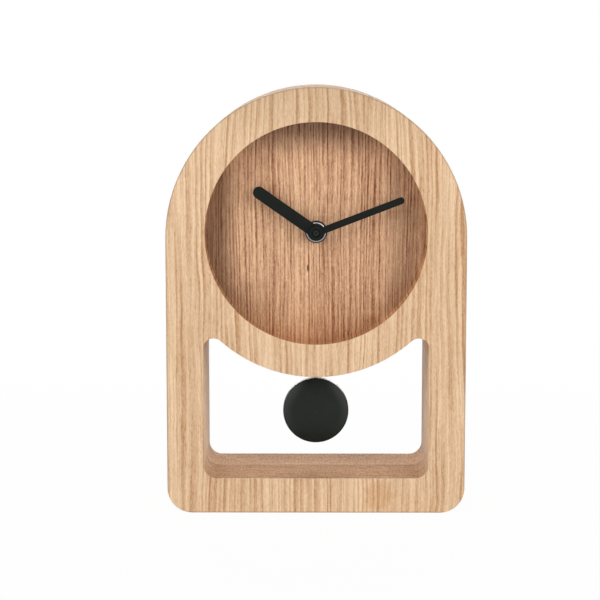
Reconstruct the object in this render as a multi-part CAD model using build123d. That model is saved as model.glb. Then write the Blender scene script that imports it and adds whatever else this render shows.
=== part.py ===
from build123d import *
import math
import os

# Desk pendulum clock, in millimetres.
# X is the width, Y the depth with the dial facing -Y, Z is up.
# The origin is the middle of the base.

# Case
FRONT_BOARD = 38.0
REAR_BOARD = 30.0
VENEER = 0.6
CASE_WALL = 17.1  # from the edge of the dial board to the side of the case
BASE_CORNER = 14.2
SILL = 19.9  # height of the bottom rail
WINDOW_CLEAR = 58.9  # from the sill up to the dial ring
RAIL_WIDTH = 20.8
RING_WALL = 13.6  # from the edge of the dial board to the window
SILL_CORNER = 7.5
UPPER_CORNER = 6.0
EDGE_SOFTENING = 0.3

# Dial
DIAL_RADIUS = 62.9
DIAL_RISE = 2.6  # dial centre above the centre of the arch
DIAL_SEAT = 5.0
DIAL_BOARD = 4.0
RECESS_DEPTH = 15.0
SEAT_FIT = 0.1

# Movement shells
MOVEMENT_WIDTH = 58.0
MOVEMENT_ABOVE = 30.0
MOVEMENT_BELOW = 50.0
MOVEMENT_DEPTH = 22.0
SHELL = 1.2
SHELL_CORNER = 4.0
CAVITY_SPACE = 2.2
GASKET = 1.0
GASKET_RADIUS = 12.0
SCREW_RADIUS = 1.0
SCREW_HEAD = 1.9
SCREW_HEAD_DEPTH = 1.2
SCREW_CROSS = 1.2  # half length of the cross slot
SCREW_CROSS_HALF = 0.3
SCREW_BITE = 4.0
SCREW_POST = 2.8
SCREW_SIDE = 24.2
SCREW_UPPER = 7.6  # above the dial centre
SCREW_LOWER = 19.2  # below the dial centre

# Centre fittings
BUSH_RADIUS = 4.0
BUSH_END = 0.6  # bush in front of the nut
BUSH_HOLE = 0.1
WASHER_RADIUS = 6.4
WASHER = 0.5
NUT_RADIUS = 6.0
NUT = 2.4
NUT_ROUNDING = 1.2

# Fits
RUNNING = 0.05
END_SHAKE = 0.1

# Wheel train
WHEEL = 1.0
LEVEL_STEP = 1.6
FIRST_GAP = 0.4
ADDENDUM = 0.8
DEDENDUM = 1.2
TOOTH_SHARE = 0.38  # of the pitch, measured on the pitch circle
TIP_HALF = 0.3
ARBOR = 0.5
PIVOT = 0.35
PIVOT_LENGTH = 0.8
BOSS = 1.4
FAST_MODULE = 0.25
DRIVE_MODULE = 0.30
MOTION_MODULE = 0.35
ROTOR_TEETH = 8
INTERMEDIATE_TEETH = 40
INTERMEDIATE_LEAVES = 10
SECONDS_TEETH = 60
SECONDS_LEAVES = 8
THIRD_TEETH = 60
THIRD_LEAVES = 8
CENTRE_TEETH = 64
CANNON_LEAVES = 12
MINUTE_TEETH = 36
MINUTE_LEAVES = 10
HOUR_TEETH = 40
SETTING_LEAVES = 12
THIRD_ANGLE = 200.0
INTERMEDIATE_ANGLE = -30.0
ROTOR_ANGLE = -10.0
MINUTE_ANGLE = 20.0
SETTING_ANGLE = 12.0
HOUR_PIPE = 2.5
MINUTE_PIPE = 1.6
MINUTE_POST = 0.9
SECONDS_RECESS = 3.3  # the seconds arbor ends this far inside the minute pipe
STEM = 1.2
STEM_PIVOT = 0.8
STEM_BOSS = 2.0
KNOB_RADIUS = 5.0
KNOB = 4.0
KNOB_GAP = 0.3
KNOB_FLUTES = 20
KNOB_FLUTE = 0.45

# Stepping motor and circuit
MAGNET_RADIUS = 2.8
MAGNET = 2.5
MAGNET_SPACE = 1.5
STATOR_GAP = 0.5
STATOR_RING = 1.6
STATOR = 1.4
STATOR_LEG = 3.0
MOTOR_X = 11.5
MOTOR_DROP = 17.0
CORE_HEIGHT = 3.0
BOBBIN_HALF = 6.6
BOBBIN_FLANGE = 1.0
BOBBIN_RADIUS = 4.2
BOBBIN_TUBE = 2.6
WINDING_DROP = 0.2  # winding below the edge of the flange
STATOR_POST = 1.3
CIRCUIT_LENGTH = 19.0
CIRCUIT_HEIGHT = 7.0
CIRCUIT = 1.0
CIRCUIT_LEFT = 20.5
CIRCUIT_DROP = 17.2
CIRCUIT_LIFT = 2.0
CIRCUIT_POST = 1.0
CIRCUIT_INSET = 2.0
CRYSTAL_RADIUS = 1.0
CRYSTAL_LENGTH = 6.0
CHIP_RADIUS = 2.4
CHIP = 0.9

# Battery
BATTERY_RADIUS = 7.1
BATTERY_LENGTH = 50.0
TERMINAL = 1.4
TERMINAL_RADIUS = 2.7
BATTERY_EDGE = 0.7
BATTERY_FIT = 0.2
BATTERY_DEEP = 1.0  # battery below the rear of the shell
BATTERY_RISE = 19.4  # above the dial centre
CONTACT = 0.4
CONTACT_HALF = 4.0
POCKET_WALL = 1.0
POCKET_SPACE = 0.3
PLATE_SPACE = 0.3  # train plate to the shell and the pocket

# Hands, angles clockwise from twelve
HOUR_ANGLE = 305.0
MINUTE_HAND_ANGLE = 69.0
HOUR_LENGTH = 43.0
HOUR_WIDTH = 6.9
HOUR_HUB = 4.4
MINUTE_LENGTH = 53.3
MINUTE_WIDTH = 3.95
MINUTE_HUB = 3.7
MINUTE_WELL = 2.5
HAND = 0.8
HOUR_COLLAR = 1.2
HOUR_COLLAR_RADIUS = 3.4
MINUTE_COLLAR = 1.5
HAND_GAP = 2.0
HAND_LIFT = 0.3

# Pendulum
SWING = 8.0
PIVOT_DROP = 25.0  # lever pivot below the dial centre
LEVER_HUB = 2.4
LEVER_HUB_STEP = 1.0
LEVER_SPACE = 0.8
LEVER_PIN = 0.8
PIN_BITE = 3.0
LEVER = 2.4
LEVER_HALF = 3.0
LEVER_MAGNET = 4.0
LEVER_MAGNET_DROP = 15.0  # magnet below the pivot
LEVER_RIM = 1.6
HOOK_DROP = 4.0  # hook below the movement
HOOK_RADIUS = 1.2
HOOK_HEAD = 2.0
HOOK_HEAD_DEPTH = 0.6
HOOK_GAP = 0.3
EYE_RADIUS = 3.0
EYE = 2.0
ROD_RADIUS = 1.2
ROD_DEPTH = 9.0  # rod inside the bob
GROOVE_DEPTH = 8.0
GROOVE_SPACE = 1.5
COIL_GAP = 1.2
COIL_RADIUS = 7.4
COIL_CORE = 2.4
COIL_DEPTH = 4.0
COIL_FLANGE = 0.8
BOB_RADIUS = 19.15
BOB_GAP = 6.15  # bob below the dial ring
BOB_DOME = 2.8  # rise of each face, taken over the whole radius
BOB_EDGE = 0.7
BOB_SIDE = 4.4

# Depths
FACE_Y = -(FRONT_BOARD + REAR_BOARD) / 2 - VENEER
BOARD_Y = FACE_Y + VENEER
JOINT_Y = BOARD_Y + FRONT_BOARD
REAR_Y = JOINT_Y + REAR_BOARD
BACK_Y = REAR_Y + VENEER
DIAL_Y = FACE_Y + RECESS_DEPTH
PANEL_Y = DIAL_Y + VENEER + DIAL_BOARD
MOVEMENT_Y = PANEL_Y + GASKET
MOVEMENT_BACK = MOVEMENT_Y + MOVEMENT_DEPTH
INNER_Y = MOVEMENT_Y + SHELL
INNER_BACK = MOVEMENT_BACK - SHELL
ROD_Y = JOINT_Y - GROOVE_DEPTH / 2
BUSH_Y = DIAL_Y - WASHER - NUT - BUSH_END
HOUR_Y = BUSH_Y - HAND_LIFT - HOUR_COLLAR - HAND
MINUTE_Y = HOUR_Y - HAND_GAP - HAND

# Widths and heights
CAVITY_RADIUS = math.hypot(MOVEMENT_WIDTH / 2, MOVEMENT_BELOW) + CAVITY_SPACE
DIAL_BOARD_RADIUS = max(DIAL_RADIUS, CAVITY_RADIUS) + DIAL_SEAT
RING_RADIUS = DIAL_BOARD_RADIUS + RING_WALL
CASE_HALF = DIAL_BOARD_RADIUS + CASE_WALL
DIAL_Z = SILL + WINDOW_CLEAR + RING_RADIUS
ARCH_Z = DIAL_Z - DIAL_RISE
WINDOW_HALF = CASE_HALF - RAIL_WIDTH
RING_LOW = DIAL_Z - RING_RADIUS
LEVER_Z = DIAL_Z - PIVOT_DROP
HOOK_Z = DIAL_Z - MOVEMENT_BELOW - HOOK_DROP
BOB_Z = RING_LOW - BOB_GAP - BOB_RADIUS
BATTERY_Z = DIAL_Z + BATTERY_RISE
POCKET_HALF = BATTERY_LENGTH / 2 + BATTERY_FIT + CONTACT
POCKET_LOW = BATTERY_Z - BATTERY_RADIUS - POCKET_SPACE


def level(step):
    return INNER_Y + FIRST_GAP + step * LEVEL_STEP


PLATE_Y = level(3)
BOSS_Y = level(7) + MAGNET + MAGNET_SPACE
PARTING_Y = PLATE_Y + WHEEL / 2
STATOR_Y = level(7) + STATOR_GAP
LEVER_BACK = ROD_Y - ROD_RADIUS - HOOK_GAP
LEVER_FRONT = LEVER_BACK - LEVER
COIL_Y = LEVER_BACK + COIL_GAP


# Shapes shared by the pieces
def plate(sketch, front, back):
    plane = Plane(origin=(0, back, 0), x_dir=(1, 0, 0), z_dir=(0, -1, 0))
    return extrude(plane * sketch, amount=back - front)


def disc(radius, front, back, place=(0, 0)):
    return plate(Pos(place[0], place[1]) * Circle(radius), front, back)


def tube(outer, inner, front, back, place=(0, 0)):
    return plate(Pos(place[0], place[1]) * (Circle(outer) - Circle(inner)), front, back)


def block(left, right, front, back, low, high):
    middle = Pos((left + right) / 2, (front + back) / 2, (low + high) / 2)
    return middle * Box(right - left, back - front, high - low)


def barrel(radius, left, right, y, z):
    return Pos((left + right) / 2, y, z) * Rotation(0, 90, 0) * Cylinder(radius, right - left)


def polar(place, distance, degrees):
    angle = math.radians(degrees)
    return (place[0] + distance * math.cos(angle), place[1] + distance * math.sin(angle))


# Wheel positions
CENTRE = (0, DIAL_Z)
THIRD_DISTANCE = DRIVE_MODULE * (SECONDS_LEAVES + THIRD_TEETH) / 2
CENTRE_MODULE = 2 * THIRD_DISTANCE / (THIRD_LEAVES + CENTRE_TEETH)
INTERMEDIATE_DISTANCE = FAST_MODULE * (INTERMEDIATE_LEAVES + SECONDS_TEETH) / 2
ROTOR_DISTANCE = FAST_MODULE * (ROTOR_TEETH + INTERMEDIATE_TEETH) / 2
MINUTE_DISTANCE = MOTION_MODULE * (CANNON_LEAVES + MINUTE_TEETH) / 2
HOUR_MODULE = 2 * MINUTE_DISTANCE / (MINUTE_LEAVES + HOUR_TEETH)
SETTING_DISTANCE = MOTION_MODULE * (MINUTE_TEETH + SETTING_LEAVES) / 2
THIRD = polar(CENTRE, THIRD_DISTANCE, THIRD_ANGLE)
INTERMEDIATE = polar(CENTRE, INTERMEDIATE_DISTANCE, INTERMEDIATE_ANGLE)
ROTOR = polar(INTERMEDIATE, ROTOR_DISTANCE, ROTOR_ANGLE)
MINUTE = polar(CENTRE, MINUTE_DISTANCE, MINUTE_ANGLE)
SETTING = polar(MINUTE, SETTING_DISTANCE, SETTING_ANGLE)
REAR_BEARINGS = (CENTRE, THIRD, INTERMEDIATE, ROTOR)
PLATE_BEARINGS = (INTERMEDIATE, ROTOR)
LEVER_PLACE = (0, LEVER_Z)
HOOK_PLACE = (0, HOOK_Z)
COIL_PLACE = (0, LEVER_Z - LEVER_MAGNET_DROP)
SCREW_PLACES = [
    (side * SCREW_SIDE, DIAL_Z + height)
    for side in (-1, 1)
    for height in (-SCREW_LOWER, SCREW_UPPER)
]


# Toothed wheels
def next_phase(phase, teeth, next_teeth, direction):
    """Tooth angle of a wheel that meshes with one whose tooth angle is known."""
    offset = direction - phase
    return direction + 180 + offset * teeth / next_teeth + 180 / next_teeth


def gear(teeth, module, front, back, place, phase):
    pitch = teeth * module / 2
    root = pitch - DEDENDUM * module
    tip = pitch + ADDENDUM * module
    half = math.degrees(TOOTH_SHARE * math.pi / teeth)
    tip_half = math.degrees(TIP_HALF * module / tip)
    tooth = [(root, -half), (pitch, -half), (tip, -tip_half), (tip, tip_half), (pitch, half), (root, half)]
    points = []
    for number in range(teeth):
        middle = phase + 360 * number / teeth
        for radius, angle in tooth:
            points.append(polar(place, radius, middle + angle))
    return plate(make_face(Polyline(points, close=True)), front, back)


def arbor(place, front, back):
    shaft = disc(ARBOR, front, back, place)
    ends = disc(PIVOT, front - PIVOT_LENGTH, back + PIVOT_LENGTH, place)
    return shaft + ends


def bearing_hole(place, front):
    return disc(PIVOT + RUNNING, front, front + PIVOT_LENGTH + END_SHAKE, place)


# Outlines of the case
def arch_outline(inset):
    half = CASE_HALF - inset
    corner = BASE_CORNER - inset
    cut = corner * (1 - math.sqrt(0.5))
    edges = [
        Line((corner - half, inset), (half - corner, inset)),
        ThreePointArc((half - corner, inset), (half - cut, inset + cut), (half, inset + corner)),
        Line((half, inset + corner), (half, ARCH_Z)),
        ThreePointArc((half, ARCH_Z), (0, ARCH_Z + half), (-half, ARCH_Z)),
        Line((-half, ARCH_Z), (-half, inset + corner)),
        ThreePointArc((-half, inset + corner), (cut - half, inset + cut), (corner - half, inset)),
    ]
    return make_face(edges)


def window_outline(outset):
    half = WINDOW_HALF + outset
    low = SILL - outset
    ring = RING_RADIUS - outset
    corner = SILL_CORNER + outset
    upper = UPPER_CORNER + outset
    cut = corner * (1 - math.sqrt(0.5))
    reach = ring + upper
    upper_x = half - upper
    upper_z = DIAL_Z - math.sqrt(reach**2 - upper_x**2)
    toward_x = upper_x / reach
    toward_z = (DIAL_Z - upper_z) / reach
    meet_x = upper_x - toward_x * upper
    meet_z = upper_z + toward_z * upper
    lean = math.hypot(1 - toward_x, toward_z)
    top_x = upper_x + upper * (1 - toward_x) / lean
    top_z = upper_z + upper * toward_z / lean
    edges = [
        Line((corner - half, low), (half - corner, low)),
        ThreePointArc((half - corner, low), (half - cut, low + cut), (half, low + corner)),
        Line((half, low + corner), (half, upper_z)),
        ThreePointArc((half, upper_z), (top_x, top_z), (meet_x, meet_z)),
        ThreePointArc((meet_x, meet_z), (0, DIAL_Z - ring), (-meet_x, meet_z)),
        ThreePointArc((-meet_x, meet_z), (-top_x, top_z), (-half, upper_z)),
        Line((-half, upper_z), (-half, low + corner)),
        ThreePointArc((-half, low + corner), (cut - half, low + cut), (corner - half, low)),
    ]
    return make_face(edges)


def dial_circle(radius):
    return Pos(0, DIAL_Z) * Circle(radius)


def rod_groove():
    reach = (LEVER_Z - RING_LOW) * math.tan(math.radians(SWING))
    half = reach + ROD_RADIUS + GROOVE_SPACE
    top = DIAL_Z - DIAL_BOARD_RADIUS + GROOVE_SPACE + half**2 / DIAL_BOARD_RADIUS
    return block(-half, half, JOINT_Y - GROOVE_DEPTH, JOINT_Y, RING_LOW - GROOVE_SPACE, top)


# Case pieces
def front_board():
    face = arch_outline(VENEER) - window_outline(VENEER)
    board = plate(face - dial_circle(DIAL_RADIUS + VENEER), BOARD_Y, JOINT_Y)
    seat = disc(DIAL_BOARD_RADIUS + SEAT_FIT, DIAL_Y, JOINT_Y, CENTRE)
    return board - seat - rod_groove()


def rear_board():
    face = arch_outline(VENEER) - window_outline(VENEER)
    return plate(face - dial_circle(CAVITY_RADIUS), JOINT_Y, REAR_Y)


def front_veneer():
    face = arch_outline(0) - window_outline(0) - dial_circle(DIAL_RADIUS)
    sheet = plate(face, FACE_Y, BOARD_Y)
    return fillet(sheet.faces().sort_by(Axis.Y)[0].edges(), EDGE_SOFTENING)


def rear_veneer():
    face = arch_outline(0) - window_outline(0) - dial_circle(CAVITY_RADIUS)
    sheet = plate(face, REAR_Y, BACK_Y)
    return fillet(sheet.faces().sort_by(Axis.Y)[-1].edges(), EDGE_SOFTENING)


def base_veneer():
    half = CASE_HALF - BASE_CORNER
    return block(-half, half, BOARD_Y, REAR_Y, 0, VENEER)


def outer_veneer():
    band = arch_outline(0) - arch_outline(VENEER)
    return plate(band, BOARD_Y, REAR_Y) - base_veneer()


def window_front_veneer():
    band = window_outline(VENEER) - window_outline(0)
    return plate(band, BOARD_Y, JOINT_Y) - rod_groove()


def window_rear_veneer():
    band = window_outline(VENEER) - window_outline(0)
    return plate(band, JOINT_Y, REAR_Y)


def dial_rim_veneer():
    return tube(DIAL_RADIUS + VENEER, DIAL_RADIUS, BOARD_Y, DIAL_Y, CENTRE)


def dial_veneer():
    return tube(DIAL_BOARD_RADIUS, BUSH_RADIUS + BUSH_HOLE, DIAL_Y, DIAL_Y + VENEER, CENTRE)


def dial_board():
    return tube(DIAL_BOARD_RADIUS, BUSH_RADIUS + BUSH_HOLE, DIAL_Y + VENEER, PANEL_Y, CENTRE)


# Movement shells and fixed fittings
def shell_outline(inset):
    height = MOVEMENT_ABOVE + MOVEMENT_BELOW
    middle = DIAL_Z + (MOVEMENT_ABOVE - MOVEMENT_BELOW) / 2
    corner = SHELL_CORNER - inset
    return Pos(0, middle) * RectangleRounded(MOVEMENT_WIDTH - 2 * inset, height - 2 * inset, corner)


def lever_hub_depths():
    return (LEVER_FRONT - LEVER_HUB_STEP, LEVER_BACK + LEVER_HUB_STEP)


def movement_front_shell():
    hub_front = lever_hub_depths()[0]
    shell = plate(shell_outline(0), MOVEMENT_Y, PARTING_Y)
    shell -= plate(shell_outline(SHELL), INNER_Y, PARTING_Y)
    for place in SCREW_PLACES:
        shell += tube(SCREW_POST, SCREW_RADIUS, INNER_Y, PLATE_Y, place)
    third_front = level(2) - END_SHAKE
    shell += disc(BOSS, INNER_Y, third_front - END_SHAKE, THIRD)
    shell -= disc(PIVOT + RUNNING, third_front - PIVOT_LENGTH - 2 * END_SHAKE, third_front, THIRD)
    shell += disc(MINUTE_POST, INNER_Y, level(1) + WHEEL + END_SHAKE, MINUTE)
    stem_front = level(1) - END_SHAKE
    shell += tube(STEM_BOSS, STEM_PIVOT + RUNNING, INNER_Y, stem_front, SETTING)
    shell += tube(LEVER_HUB, LEVER_PIN, INNER_Y, hub_front - END_SHAKE, LEVER_PLACE)
    return shell - disc(BUSH_RADIUS + RUNNING, MOVEMENT_Y, INNER_Y, CENTRE)


def battery_pocket(grow):
    half = POCKET_HALF + grow
    reach = BATTERY_RADIUS + POCKET_SPACE + grow
    floor = MOVEMENT_BACK - BATTERY_DEEP - 2 * BATTERY_RADIUS - POCKET_SPACE - grow
    return block(-half, half, floor, MOVEMENT_BACK, BATTERY_Z - reach, BATTERY_Z + reach)


def lever_slot():
    wall = MOVEMENT_BELOW - PIVOT_DROP
    lean = math.radians(SWING)
    half = wall * math.tan(lean) + LEVER_HALF / math.cos(lean) + LEVER_SPACE
    low = DIAL_Z - MOVEMENT_BELOW
    return block(-half, half, LEVER_FRONT - LEVER_SPACE, LEVER_BACK + LEVER_SPACE, low, low + SHELL)


def circuit_posts():
    left = CIRCUIT_INSET - CIRCUIT_LEFT
    right = CIRCUIT_LENGTH - CIRCUIT_LEFT - CIRCUIT_INSET
    height = DIAL_Z - CIRCUIT_DROP
    front = INNER_BACK - CIRCUIT_LIFT
    return [disc(CIRCUIT_POST, front, INNER_BACK, (x, height)) for x in (left, right)]


def stator_leg_middles():
    reach = BOBBIN_HALF + END_SHAKE + STATOR_LEG / 2
    return (MOTOR_X - reach, MOTOR_X + reach)


def movement_rear_shell():
    hub_back = lever_hub_depths()[1]
    shell = plate(shell_outline(0), PARTING_Y, MOVEMENT_BACK)
    shell -= plate(shell_outline(SHELL), PARTING_Y, INNER_BACK)
    shell += battery_pocket(POCKET_WALL)
    shell -= battery_pocket(0)
    for place in SCREW_PLACES:
        shell += disc(SCREW_POST, PLATE_Y + WHEEL, INNER_BACK, place)
        shell -= disc(SCREW_RADIUS + RUNNING, PLATE_Y + WHEEL, MOVEMENT_BACK, place)
        shell -= disc(SCREW_HEAD + BUSH_HOLE, MOVEMENT_BACK - SCREW_HEAD_DEPTH, MOVEMENT_BACK, place)
    for place in REAR_BEARINGS:
        shell += disc(BOSS, BOSS_Y, INNER_BACK, place)
        shell -= bearing_hole(place, BOSS_Y)
    for x in stator_leg_middles():
        shell += disc(STATOR_POST, STATOR_Y + STATOR, INNER_BACK, (x, DIAL_Z - MOTOR_DROP))
    for post in circuit_posts():
        shell += post
    shell += tube(LEVER_HUB, LEVER_PIN, hub_back + END_SHAKE, INNER_BACK, LEVER_PLACE)
    shell -= disc(STEM + RUNNING, INNER_BACK, MOVEMENT_BACK, SETTING)
    return shell - lever_slot()


def train_plate():
    half = MOVEMENT_WIDTH / 2 - SHELL - PLATE_SPACE
    low = DIAL_Z - SCREW_LOWER - SCREW_POST
    high = POCKET_LOW - POCKET_WALL - PLATE_SPACE
    board = block(-half, half, PLATE_Y, PLATE_Y + WHEEL, low, high)
    for place in SCREW_PLACES:
        board -= disc(SCREW_RADIUS + RUNNING, PLATE_Y, PLATE_Y + WHEEL, place)
    for place in PLATE_BEARINGS:
        board -= disc(PIVOT + RUNNING, PLATE_Y, PLATE_Y + WHEEL, place)
    for place in (CENTRE, THIRD):
        board -= disc(ARBOR + RUNNING, PLATE_Y, PLATE_Y + WHEEL, place)
    return board - disc(STEM + RUNNING, PLATE_Y, PLATE_Y + WHEEL, SETTING)


def movement_screws():
    screws = []
    head_front = MOVEMENT_BACK - SCREW_HEAD_DEPTH
    for place in SCREW_PLACES:
        screw = disc(SCREW_RADIUS, PLATE_Y - SCREW_BITE, head_front, place)
        screw += disc(SCREW_HEAD, head_front, MOVEMENT_BACK, place)
        deep = MOVEMENT_BACK - SCREW_HEAD_DEPTH / 2
        for wide, tall in ((SCREW_CROSS, SCREW_CROSS_HALF), (SCREW_CROSS_HALF, SCREW_CROSS)):
            left = place[0] - wide
            right = place[0] + wide
            screw -= block(left, right, deep, MOVEMENT_BACK, place[1] - tall, place[1] + tall)
        screws.append(screw)
    return Compound(children=screws)


def centre_bush():
    return tube(BUSH_RADIUS, HOUR_PIPE + RUNNING, BUSH_Y, INNER_Y, CENTRE)


def rubber_gasket():
    return tube(GASKET_RADIUS, BUSH_RADIUS + BUSH_HOLE, PANEL_Y, MOVEMENT_Y, CENTRE)


def bush_washer():
    return tube(WASHER_RADIUS, BUSH_RADIUS + BUSH_HOLE, DIAL_Y - WASHER, DIAL_Y, CENTRE)


def bush_nut():
    front = DIAL_Y - WASHER - NUT
    nut = disc(NUT_RADIUS, front, DIAL_Y - WASHER, CENTRE)
    nut = fillet(nut.faces().sort_by(Axis.Y)[0].edges(), NUT_ROUNDING)
    return nut - disc(BUSH_RADIUS, front, DIAL_Y - WASHER, CENTRE)


# Hands and the wheels behind the dial
def hand_blade(width, length, hub, angle):
    bar = Pos(0, (length - width / 2) / 2) * Rectangle(width, length - width / 2)
    bar += Pos(0, length - width / 2) * Circle(width / 2)
    bar += Circle(hub)
    return Pos(0, DIAL_Z) * Rot(0, 0, -angle) * bar


def hour_hand():
    hand = plate(hand_blade(HOUR_WIDTH, HOUR_LENGTH, HOUR_HUB, HOUR_ANGLE), HOUR_Y, HOUR_Y + HAND)
    hand += disc(HOUR_COLLAR_RADIUS, HOUR_Y + HAND, HOUR_Y + HAND + HOUR_COLLAR, CENTRE)
    return hand - disc(HOUR_PIPE, HOUR_Y, HOUR_Y + HAND + HOUR_COLLAR, CENTRE)


def minute_hand():
    blade = hand_blade(MINUTE_WIDTH, MINUTE_LENGTH, MINUTE_HUB, MINUTE_HAND_ANGLE)
    back = MINUTE_Y + HAND + HAND_GAP / 2
    hand = plate(blade, MINUTE_Y, MINUTE_Y + HAND)
    hand += tube(MINUTE_HUB, MINUTE_WELL, MINUTE_Y - MINUTE_COLLAR, MINUTE_Y, CENTRE)
    hand += disc(MINUTE_WELL, MINUTE_Y + HAND, back, CENTRE)
    return hand - disc(MINUTE_PIPE, MINUTE_Y, back, CENTRE)


def hour_wheel():
    phase = next_phase(MINUTE_ANGLE + 180, MINUTE_LEAVES, HOUR_TEETH, MINUTE_ANGLE + 180)
    wheel = gear(HOUR_TEETH, HOUR_MODULE, level(0), level(0) + WHEEL, CENTRE, phase)
    wheel += disc(HOUR_PIPE, HOUR_Y, level(0) + WHEEL, CENTRE)
    return wheel - disc(MINUTE_PIPE + RUNNING, HOUR_Y, level(0) + WHEEL, CENTRE)


def minute_pipe_front():
    return MINUTE_Y - MINUTE_COLLAR / 3


def minute_pipe():
    front = minute_pipe_front()
    back = level(2) + WHEEL + END_SHAKE
    pipe = disc(MINUTE_PIPE, front, back, CENTRE)
    pipe += gear(CANNON_LEAVES, MOTION_MODULE, level(1), level(1) + WHEEL, CENTRE, MINUTE_ANGLE)
    return pipe - disc(ARBOR + RUNNING, front, back, CENTRE)


def minute_wheel():
    phase = next_phase(MINUTE_ANGLE, CANNON_LEAVES, MINUTE_TEETH, MINUTE_ANGLE)
    wheel = gear(MINUTE_TEETH, MOTION_MODULE, level(1), level(1) + WHEEL, MINUTE, phase)
    wheel += gear(MINUTE_LEAVES, HOUR_MODULE, level(0), level(1), MINUTE, MINUTE_ANGLE + 180)
    return wheel - disc(MINUTE_POST + RUNNING, level(0), level(1) + WHEEL, MINUTE)


def setting_stem():
    minute_phase = next_phase(MINUTE_ANGLE, CANNON_LEAVES, MINUTE_TEETH, MINUTE_ANGLE)
    phase = next_phase(minute_phase, MINUTE_TEETH, SETTING_LEAVES, SETTING_ANGLE)
    stem = gear(SETTING_LEAVES, MOTION_MODULE, level(1), level(1) + WHEEL, SETTING, phase)
    stem += disc(STEM, level(1), MOVEMENT_BACK + KNOB_GAP + KNOB / 2, SETTING)
    return stem + disc(STEM_PIVOT, INNER_Y + END_SHAKE, level(1), SETTING)


def setting_knob():
    front = MOVEMENT_BACK + KNOB_GAP
    knob = disc(KNOB_RADIUS, front, front + KNOB, SETTING)
    for number in range(KNOB_FLUTES):
        place = polar(SETTING, KNOB_RADIUS, 360 * number / KNOB_FLUTES)
        knob -= disc(KNOB_FLUTE, front, front + KNOB, place)
    return knob - disc(STEM, front, front + KNOB / 2, SETTING)


# Going train
def centre_wheel():
    phase = next_phase(THIRD_ANGLE + 180, THIRD_LEAVES, CENTRE_TEETH, THIRD_ANGLE + 180)
    wheel = gear(CENTRE_TEETH, CENTRE_MODULE, level(2), level(2) + WHEEL, CENTRE, phase)
    return wheel - disc(MINUTE_PIPE + RUNNING, level(2), level(2) + WHEEL, CENTRE)


def third_wheel():
    phase = next_phase(THIRD_ANGLE, SECONDS_LEAVES, THIRD_TEETH, THIRD_ANGLE)
    wheel = arbor(THIRD, level(2) - END_SHAKE, BOSS_Y - END_SHAKE)
    wheel += gear(THIRD_LEAVES, CENTRE_MODULE, level(2), level(2) + WHEEL, THIRD, THIRD_ANGLE + 180)
    return wheel + gear(THIRD_TEETH, DRIVE_MODULE, level(4), level(4) + WHEEL, THIRD, phase)


def seconds_wheel():
    toward = INTERMEDIATE_ANGLE + 180
    phase = next_phase(toward, INTERMEDIATE_LEAVES, SECONDS_TEETH, toward)
    back = BOSS_Y - END_SHAKE
    wheel = disc(ARBOR, minute_pipe_front() + SECONDS_RECESS, back, CENTRE)
    wheel += disc(PIVOT, back, back + PIVOT_LENGTH, CENTRE)
    wheel += gear(SECONDS_LEAVES, DRIVE_MODULE, level(4), level(5), CENTRE, THIRD_ANGLE)
    return wheel + gear(SECONDS_TEETH, FAST_MODULE, level(5), level(5) + WHEEL, CENTRE, phase)


def intermediate_wheel():
    toward = INTERMEDIATE_ANGLE + 180
    phase = next_phase(ROTOR_ANGLE + 180, ROTOR_TEETH, INTERMEDIATE_TEETH, ROTOR_ANGLE + 180)
    wheel = arbor(INTERMEDIATE, PLATE_Y + WHEEL + END_SHAKE, BOSS_Y - END_SHAKE)
    wheel += gear(INTERMEDIATE_LEAVES, FAST_MODULE, level(5), level(6), INTERMEDIATE, toward)
    return wheel + gear(INTERMEDIATE_TEETH, FAST_MODULE, level(6), level(6) + WHEEL, INTERMEDIATE, phase)


def rotor_arbor():
    shaft = arbor(ROTOR, PLATE_Y + WHEEL + END_SHAKE, BOSS_Y - END_SHAKE)
    return shaft + gear(ROTOR_TEETH, FAST_MODULE, level(6), level(6) + WHEEL, ROTOR, ROTOR_ANGLE + 180)


def rotor_magnet():
    return tube(MAGNET_RADIUS, ARBOR, level(7), level(7) + MAGNET, ROTOR)


# Motor and circuit
def motor_stator():
    ring_inner = MAGNET_RADIUS + STATOR_GAP
    ring_outer = ring_inner + STATOR_RING
    legs = stator_leg_middles()
    bar_high = ROTOR[1] - MAGNET_RADIUS / 4
    bar_low = bar_high - STATOR_LEG
    low = DIAL_Z - MOTOR_DROP - CORE_HEIGHT / 2
    back = STATOR_Y + STATOR
    body = disc(ring_outer, STATOR_Y, back, ROTOR)
    body += block(legs[0], legs[1], STATOR_Y, back, bar_low, bar_high)
    for middle in legs:
        left = middle - STATOR_LEG / 2
        body += block(left, left + STATOR_LEG, STATOR_Y, back, low, bar_high)
    return body - disc(ring_inner, STATOR_Y, back, ROTOR)


def motor_core():
    legs = stator_leg_middles()
    middle = DIAL_Z - MOTOR_DROP
    left = legs[0] - STATOR_LEG / 2
    right = legs[1] + STATOR_LEG / 2
    half = CORE_HEIGHT / 2
    return block(left, right, STATOR_Y - STATOR, STATOR_Y, middle - half, middle + half)


def motor_bobbin():
    y = STATOR_Y - STATOR / 2
    z = DIAL_Z - MOTOR_DROP
    left = MOTOR_X - BOBBIN_HALF
    right = MOTOR_X + BOBBIN_HALF
    body = barrel(BOBBIN_TUBE, left, right, y, z)
    body += barrel(BOBBIN_RADIUS, left, left + BOBBIN_FLANGE, y, z)
    body += barrel(BOBBIN_RADIUS, right - BOBBIN_FLANGE, right, y, z)
    return body - motor_core()


def motor_winding():
    y = STATOR_Y - STATOR / 2
    z = DIAL_Z - MOTOR_DROP
    left = MOTOR_X - BOBBIN_HALF + BOBBIN_FLANGE
    right = MOTOR_X + BOBBIN_HALF - BOBBIN_FLANGE
    return barrel(BOBBIN_RADIUS - WINDING_DROP, left, right, y, z) - barrel(BOBBIN_TUBE, left, right, y, z)


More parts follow.
